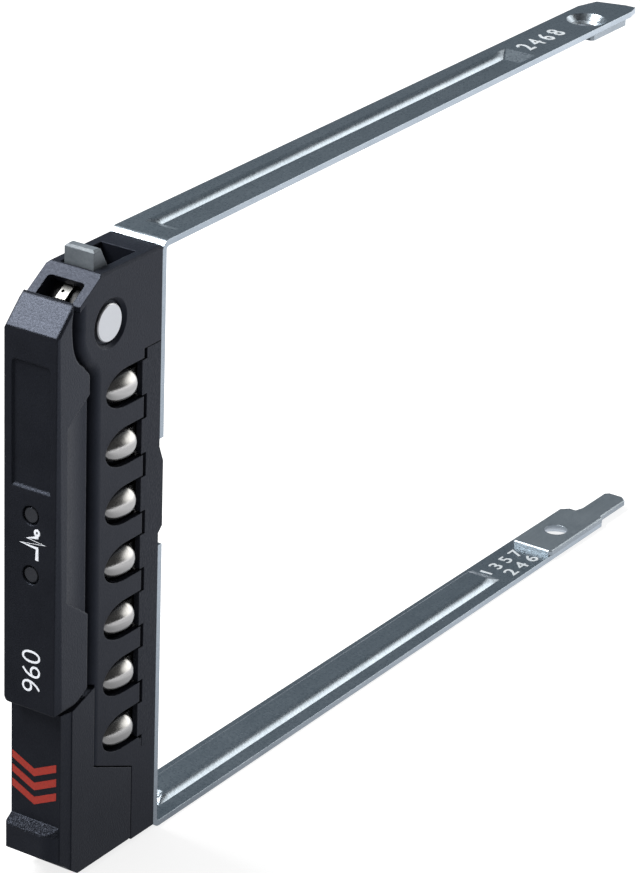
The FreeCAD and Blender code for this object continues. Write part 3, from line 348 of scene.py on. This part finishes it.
tree.links.new(pitted.outputs["Normal"], shader.inputs["Normal"])
dress("release_latch", latch_plastic)

# ----------------------------------------------------- lenses and light guides
# Two round lenses of smoked plastic pressed into the cover, unlit, and behind them two
# pale moulded rods that bring the light through the web.
LENS_WAVE = 900
LENS_DEPTH = 0.00001
lens_plastic = plastic_finish("smoked_lens", (0.019, 0.020, 0.023), (0.025, 0.026, 0.029),
                              LENS_WAVE, LENS_DEPTH, 0.22, 0.0002)
for name in ("upper_lens", "lower_lens"):
    dress(name, lens_plastic)
guide_plastic = plastic_finish("clear_light_guide", (0.6, 0.62, 0.63), (0.65, 0.67, 0.68),
                               LENS_WAVE, LENS_DEPTH, 0.15, 0.0001)
for name in ("upper_light_guide", "lower_light_guide"):
    dress(name, guide_plastic)

# ------------------------------------------------------------ latch return spring
# Coil of drawn spring wire that stands on the housing and pushes the latch up.  Here it
# is one rigid piece that rides on the carrier.
WELD = 0.000001


def only(piece):
    """Select one piece and nothing else."""
    bpy.ops.object.select_all(action="DESELECT")
    piece.select_set(True)
    bpy.context.view_layer.objects.active = piece


only(nodes["latch_spring"])
bpy.ops.object.duplicate()
return_coil = bpy.context.object
return_coil.name = "latch_return_coil"
bpy.ops.object.mode_set(mode="EDIT")
bpy.ops.mesh.select_all(action="SELECT")
bpy.ops.mesh.remove_doubles(threshold=WELD)
bpy.ops.object.mode_set(mode="OBJECT")
return_coil.data.materials.clear()
return_coil.data.materials.append(spring_steel)
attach(return_coil, "carrier")
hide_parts("latch_spring")
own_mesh(return_coil)

# ----------------------------------------------------------- arrows on the latch
# Three red chevrons pad-printed on the latch's front face, above the thumb ledge,
# pointing the way it is pushed.  One coat of ink, a little thin at its edges.
INK_FILM = 0.00005
CHEVRON_RED = (0.25, 0.016, 0.008)
LATCH_SETBACK = 0.00145
LATCH_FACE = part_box("front_cover")[0][1] + LATCH_SETBACK
CHEVRON_MIDDLE = -0.000875
CHEVRON_TOP = 0.01330 + 0.0032
CHEVRON_WIDTH = 0.0067
CHEVRON_STROKE = 0.00105
CHEVRON_DIP = 0.0016
CHEVRON_PITCH = 0.00195


def ink_finish(name, color, thin):
    """Pad-printed ink: even, slightly mottled, satin."""
    material, tree, shader, place = new_material(name)
    cover = noise(tree, place, 3800, 3, 0.6)
    tree.links.new(blend_colors(tree, spread(tree, cover, 0.25, 0.5, 0.0, 1.0), thin, color),
                   shader.inputs["Base Color"])
    tree.links.new(spread(tree, cover, 0.3, 0.7, 0.42, 0.55), shader.inputs["Roughness"])
    shader.inputs["Specular IOR Level"].default_value = 0.3
    surface_relief(tree, shader, cover, 0.00002, 0.3)
    return material


def marked(piece, name, material, body):
    """Fix a printed or stamped mark in its place and hand it to the body it is on."""
    only(piece)
    bpy.ops.object.transform_apply(location=True, rotation=True, scale=True)
    piece.name = name
    piece.data.materials.clear()
    piece.data.materials.append(material)
    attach(piece, body)


def printed_chevron(x, z, face):
    """Flat grid of two panels, its middle edge drawn down, given the ink's thickness."""
    bpy.ops.object.select_all(action="DESELECT")
    bpy.ops.mesh.primitive_grid_add(x_subdivisions=2, y_subdivisions=1, size=1,
                                    location=(x, face, z), rotation=(math.pi / 2, 0, 0))
    piece = bpy.context.object
    piece.scale = (CHEVRON_WIDTH, CHEVRON_STROKE, 1)
    bpy.ops.object.transform_apply(location=True, rotation=True, scale=True)
    bpy.ops.object.mode_set(mode="EDIT")
    bpy.ops.mesh.select_mode(type="VERT")
    bpy.ops.mesh.select_all(action="DESELECT")
    mesh = bmesh.from_edit_mesh(piece.data)
    for vertex in mesh.verts:
        vertex.select_set(abs(vertex.co.x - x) < CHEVRON_WIDTH / 8)
    bmesh.update_edit_mesh(piece.data)
    bpy.ops.transform.translate(value=(0, 0, -CHEVRON_DIP))
    bpy.ops.object.mode_set(mode="OBJECT")
    bpy.ops.object.modifier_add(type="SOLIDIFY")
    piece.modifiers[-1].thickness = INK_FILM
    piece.modifiers[-1].offset = 0
    bpy.ops.object.modifier_apply(modifier=piece.modifiers[-1].name)
    return piece


chevron_ink = ink_finish("red_ink", CHEVRON_RED, (0.16, 0.015, 0.010))
for step in range(3):
    chevron = printed_chevron(CHEVRON_MIDDLE, CHEVRON_TOP - step * CHEVRON_PITCH, LATCH_FACE)
    marked(chevron, "latch_chevron_%d" % (step + 1), chevron_ink, "latch")

# ----------------------------------------------------- activity mark and capacity
# White pad print on the cover: a plain pulse line between the two lights, ending
# in a small ring, and below them a plain number that reads upwards.
COVER_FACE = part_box("front_cover")[0][1]
PULSE = ((0.95, 44.45), (0.95, 46.05), (-1.45, 46.25), (2.10, 46.75), (-0.50, 47.05),
         (0.95, 47.45), (0.95, 47.62))
PULSE_WIDTH = 0.00052
RING_MIDDLE = (0.95, 48.05)
RING_RADII = (0.30, 0.34)
RING_WIDTH = 0.00034
RING_POINTS = 20
PRINT_SHIFT = -0.000425
white_ink = ink_finish("white_ink", (0.60, 0.62, 0.66), (0.44, 0.46, 0.50))


def printed_line(points, closed, width):
    """Flat line of ink through the points, on the cover's face."""
    bpy.ops.object.select_all(action="DESELECT")
    bpy.ops.curve.primitive_bezier_curve_add()
    line = bpy.context.object
    line.data.splines.clear()
    spline = line.data.splines.new("POLY")
    spline.points.add(len(points) - 1)
    for point, (x, z) in zip(spline.points, points):
        point.co = (x * MM + PRINT_SHIFT, COVER_FACE, z * MM, 1)
    spline.use_cyclic_u = closed
    line.data.bevel_depth = width / 2
    line.data.bevel_resolution = 3
    line.data.use_fill_caps = not closed
    bpy.ops.object.convert(target="MESH")
    flat = bpy.context.object
    flat.scale = (1, INK_FILM / width, 1)
    flat.location = (0, COVER_FACE * (1 - INK_FILM / width), 0)
    return flat


marked(printed_line(PULSE, False, PULSE_WIDTH), "pulse_mark", white_ink, "lever")
ring = []
for point in range(RING_POINTS):
    angle = point * 2 * math.pi / RING_POINTS
    ring.append((RING_MIDDLE[0] + RING_RADII[0] * math.cos(angle),
                 RING_MIDDLE[1] + RING_RADII[1] * math.sin(angle)))
marked(printed_line(ring, True, RING_WIDTH), "pulse_ring", white_ink, "lever")

READS_UP = Matrix(((0, -1, 0), (0, 0, -1), (1, 0, 0)))
NUMBER_MIDDLE = (-0.00028, COVER_FACE, 0.0295)
NUMBER_LENGTH = 0.0056
NUMBER_HEIGHT = 0.0027


def figures(words, turn, middle, length, height, film, weight=0.0):
    """Plain figures as a thin raised film, fitted to a length and a height."""
    bpy.ops.object.select_all(action="DESELECT")
    bpy.ops.object.text_add()
    text = bpy.context.object
    text.data.body = words
    text.data.extrude = 0.5
    text.data.offset = weight
    text.data.align_x = "CENTER"
    bpy.ops.object.convert(target="MESH")
    piece = bpy.context.object
    low = Vector([min(v.co[i] for v in piece.data.vertices) for i in range(3)])
    high = Vector([max(v.co[i] for v in piece.data.vertices) for i in range(3)])
    size = high - low
    fit = Matrix.Diagonal((length / size.x, height / size.y, film / size.z, 1))
    centred = Matrix.Translation(-(low + high) / 2)
    piece.matrix_world = Matrix.Translation(middle) @ turn.to_4x4() @ fit @ centred
    bpy.ops.object.transform_apply(location=True, rotation=True, scale=True)
    return piece


number = figures("960", READS_UP, NUMBER_MIDDLE, NUMBER_LENGTH, NUMBER_HEIGHT, INK_FILM, -0.012)
marked(number, "capacity_number", white_ink, "lever")

# ------------------------------------------------------------- figures on the arms
# Plain figures struck into the plated sheet near each arm's tip.  The struck edges
# stand a little proud; their paler, less metallic tone is a painted highlight for the glint they catch.
READS_BACK = Matrix(((0, -1, 0), (1, 0, 0), (0, 0, 1)))
SHEET = 0.0008
ARM_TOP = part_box("bracket")[1][2]
ARM_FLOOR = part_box("bracket")[0][2] + SHEET
STRUCK_DEPTH = 0.00008
# Painted highlight: paler and less metallic than the arm, for the glint on the struck edges.
struck_steel_painted_glint = steel_finish("struck_figures_painted_glint", (0.38, 0.41, 0.43), (0.56, 0.59, 0.61), 0.0, 0.5, 0.9)
struck_steel_painted_glint.node_tree.nodes["Principled BSDF"].inputs["Metallic"].default_value = 0.25
for name, words, middle, length, height in (
        ("upper_arm_figures", "2 4 6 8", (-0.0004, 0.0428, ARM_TOP), 0.0094, 0.0027),
        ("lower_arm_figures_left", "1 3 5 7", (-0.0013, 0.0416, ARM_FLOOR), 0.0090, 0.0020),
        ("lower_arm_figures_right", "2 4 6", (0.0014, 0.0424, ARM_FLOOR), 0.0072, 0.0020)):
    struck = figures(words, READS_BACK, middle, length, height, STRUCK_DEPTH, 0.012)
    marked(struck, name, struck_steel_painted_glint, "carrier")

# ---------------------------------------------------------------------- camera
# Long lens from the front right and above, slightly rolled.
AZIMUTH, ELEVATION, ROLL = (math.radians(a) for a in (33.21, 24.10, 1.96))
CAMERA_PLACE = Vector((270.195, -421.89, 259.53)) * MM
camera_data = bpy.data.cameras.new("camera")
camera_data.lens = 171.3
camera_data.sensor_width = 36
camera_data.clip_start = 0.01
camera_data.clip_end = 10
camera = bpy.data.objects.new("camera", camera_data)
bpy.context.scene.collection.objects.link(camera)
turn = (Euler((math.pi / 2 - ELEVATION, 0, AZIMUTH)).to_matrix()
        @ Matrix.Rotation(ROLL, 3, "Z"))
camera.matrix_world = Matrix.Translation(CAMERA_PLACE) @ turn.to_4x4()
bpy.context.scene.camera = camera

# ------------------------------------------------------------------------ room
# White to the camera and through clear things.  What is glossy sees a grey room that is
# darker on the right, with one bright window behind; diffuse light comes from all round.
WINDOW_TOWARDS = (0.4770, 0.8616, 0.1736)
ROOM_LEFT = (0.150, 0.180, 0.206)
ROOM_RIGHT = (0.050, 0.050, 0.052)
WINDOW_WHITE = (2.6, 2.6, 2.58)
ROOM_LIGHT = (0.55, 0.55, 0.55)


def facing(tree, direction, towards):
    """How far a direction points towards another, -1 to 1."""
    node = tree.nodes.new("ShaderNodeVectorMath")
    node.operation = "DOT_PRODUCT"
    node.inputs[1].default_value = towards
    tree.links.new(direction, node.inputs[0])
    return node.outputs["Value"]


world = bpy.data.worlds.new("studio")
bpy.context.scene.world = world
world.use_nodes = True
tree = world.node_tree
background = tree.nodes["Background"]
path = tree.nodes.new("ShaderNodeLightPath")
shown = combine(tree, "MAXIMUM", path.outputs["Is Camera Ray"], path.outputs["Is Transmission Ray"])
direction = tree.nodes.new("ShaderNodeTexCoord").outputs["Generated"]
right = spread(tree, facing(tree, direction, (1, 0, 0)), -0.25, 0.45, 0.0, 1.0)
window = spread(tree, facing(tree, direction, WINDOW_TOWARDS), 0.84, 0.95, 0.0, 1.0)
room = blend_colors(tree, right, ROOM_LEFT, ROOM_RIGHT)
room = blend_colors(tree, window, room, WINDOW_WHITE)
reflected = blend_colors(tree, path.outputs["Is Glossy Ray"], ROOM_LIGHT, room)
seen = blend_colors(tree, shown, reflected, (1.0, 1.0, 1.0))
tree.links.new(seen, background.inputs["Color"])

# ----------------------------------------------------------------------- floor
# Plain white sheet that keeps the carrier's shadow.  What is glossy sees it grade from
# dark in front of the carrier to bright behind: painted shade and light seen only in reflections.
TOWARDS_BACK = (0.53, 0.85, 0)
FLOOR_GREY = (0.32, 0.32, 0.32)
FLOOR_GLOW = 0.80
bpy.ops.object.select_all(action="DESELECT")
bpy.ops.mesh.primitive_plane_add(size=6, location=(0, 0, 0))
floor = bpy.context.object
floor.name = "floor"
material, tree, shader, place = new_material("white_floor")
tree.nodes.remove(shader)
diffuse = tree.nodes.new("ShaderNodeBsdfDiffuse")
diffuse.inputs["Color"].default_value = (*FLOOR_GREY, 1)
glow = tree.nodes.new("ShaderNodeEmission")
glow.inputs["Strength"].default_value = FLOOR_GLOW
paper = tree.nodes.new("ShaderNodeAddShader")
tree.links.new(diffuse.outputs[0], paper.inputs[0])
tree.links.new(glow.outputs[0], paper.inputs[1])
# Painted shade and light in the floor's reflection: dark in front of and near the carrier, brighter than
# white behind it, seen only by glossy rays.
floor_painted_shade_and_light = tree.nodes.new("ShaderNodeEmission")
behind = facing(tree, place, TOWARDS_BACK)
tone = (0.12, 0.12, 0.13)
for start, end, next_tone in ((-0.090, -0.055, (0.42, 0.43, 0.46)), (-0.035, 0.025, (0.98, 1.0, 1.06)),
                              (0.12, 0.40, (1.7, 1.72, 1.8))):
    tone = blend_colors(tree, spread(tree, behind, start, end, 0.0, 1.0), tone, next_tone)
tree.links.new(tone, floor_painted_shade_and_light.inputs["Color"])
either = tree.nodes.new("ShaderNodeMixShader")
tree.links.new(tree.nodes.new("ShaderNodeLightPath").outputs["Is Glossy Ray"], either.inputs["Fac"])
tree.links.new(paper.outputs[0], either.inputs[1])
tree.links.new(floor_painted_shade_and_light.outputs[0], either.inputs[2])
tree.links.new(either.outputs[0], tree.nodes["Material Output"].inputs["Surface"])
floor.data.materials.append(material)


# ------------------------------------------------------------------ softboxes
# Two softboxes high on the left: a tall key from the front and a small square fill.
def softbox(name, position, target, size, watts):
    """Rectangular area light at a position, turned to its target."""
    data = bpy.data.lights.new(name, "AREA")
    data.shape = "RECTANGLE"
    data.size, data.size_y = size
    data.energy = watts
    lamp = bpy.data.objects.new(name, data)
    lamp.location = position
    lamp.rotation_euler = (Vector(target) - Vector(position)).to_track_quat("-Z", "Y").to_euler()
    bpy.context.scene.collection.objects.link(lamp)


softbox("key", (-0.325, -0.29, 0.545), (0, -0.05, 0.05), (0.20, 0.40), 6.5)
softbox("fill", (-0.34, -0.08, 0.62), (0, -0.05, 0.07), (0.18, 0.18), 2.6)

# ---------------------------------------------------------------------- finish
bpy.context.scene.view_settings.view_transform = "Standard"
